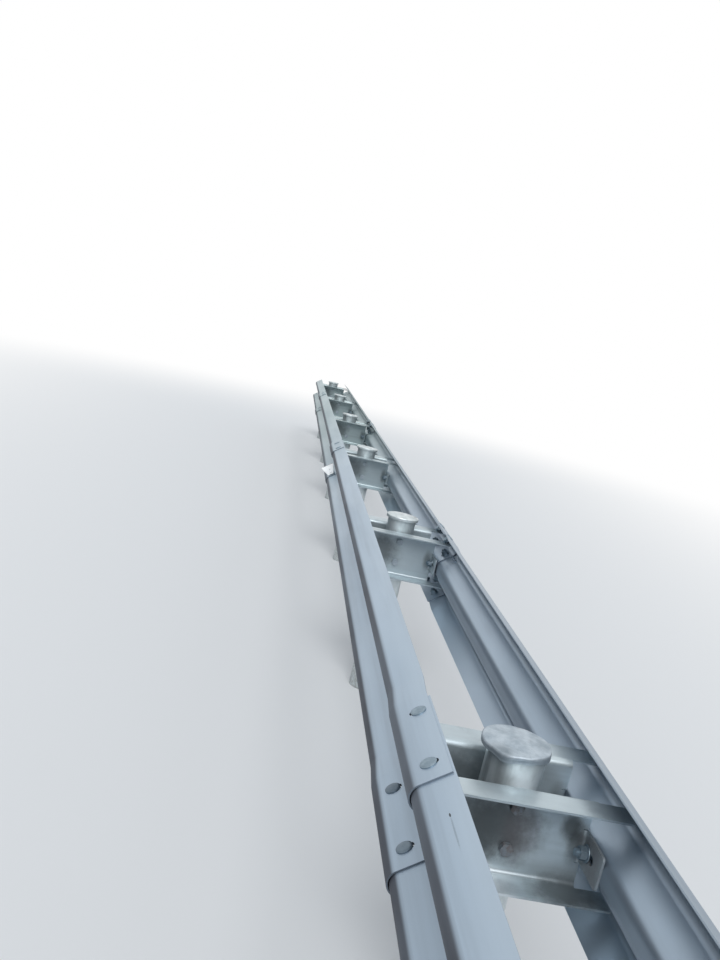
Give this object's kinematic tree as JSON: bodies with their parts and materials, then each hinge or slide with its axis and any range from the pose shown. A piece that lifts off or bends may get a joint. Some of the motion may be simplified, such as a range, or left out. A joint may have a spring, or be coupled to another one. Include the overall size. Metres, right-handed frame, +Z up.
{
  "type": "highway guardrail section",
  "caption": "Double-sided W-beam highway guardrail: galvanised rails lapped end to end, on transverse channels bolted to round capped posts.",
  "frame": {"origin": "centre of the middle post's foot, at ground level", "axes": "+X along the road, the way the run is seen in the picture, +Y towards the left rail, +Z up"},
  "size_m": [12.33, 0.4865, 0.754],
  "materials": {
    "post": "hot-dip galvanised, satin",
    "cap": "hot-dip galvanised, dull",
    "channel": "hot-dip galvanised, bright satin",
    "rail": "hot-dip galvanised, satin, light dust",
    "bracket": "galvanised, weathered",
    "delineator": "white reflective sheet"
  },
  "bodies": {
    "root": {"post_0": "post", "cap_0": "cap", "channel_0_far": "channel", "channel_0_near": "channel", "post_1": "post", "cap_1": "cap", "channel_1_far": "channel", "channel_1_near": "channel", "post_2": "post", "cap_2": "cap", "channel_2_far": "channel", "channel_2_near": "channel", "post_3": "post", "cap_3": "cap", "channel_3_far": "channel", "channel_3_near": "channel", "post_4": "post", "cap_4": "cap", "channel_4_far": "channel", "channel_4_near": "channel", "post_5": "post", "cap_5": "cap", "channel_5_far": "channel", "channel_5_near": "channel", "post_6": "post", "cap_6": "cap", "channel_6_far": "channel", "channel_6_near": "channel", "rail_left_0": "rail", "rail_left_1": "rail", "rail_left_2": "rail", "rail_left_3": "rail", "rail_right_0": "rail", "rail_right_1": "rail", "rail_right_2": "rail", "delineator_bracket": "bracket", "delineator_body": "delineator"}
  },
  "joints": []
}
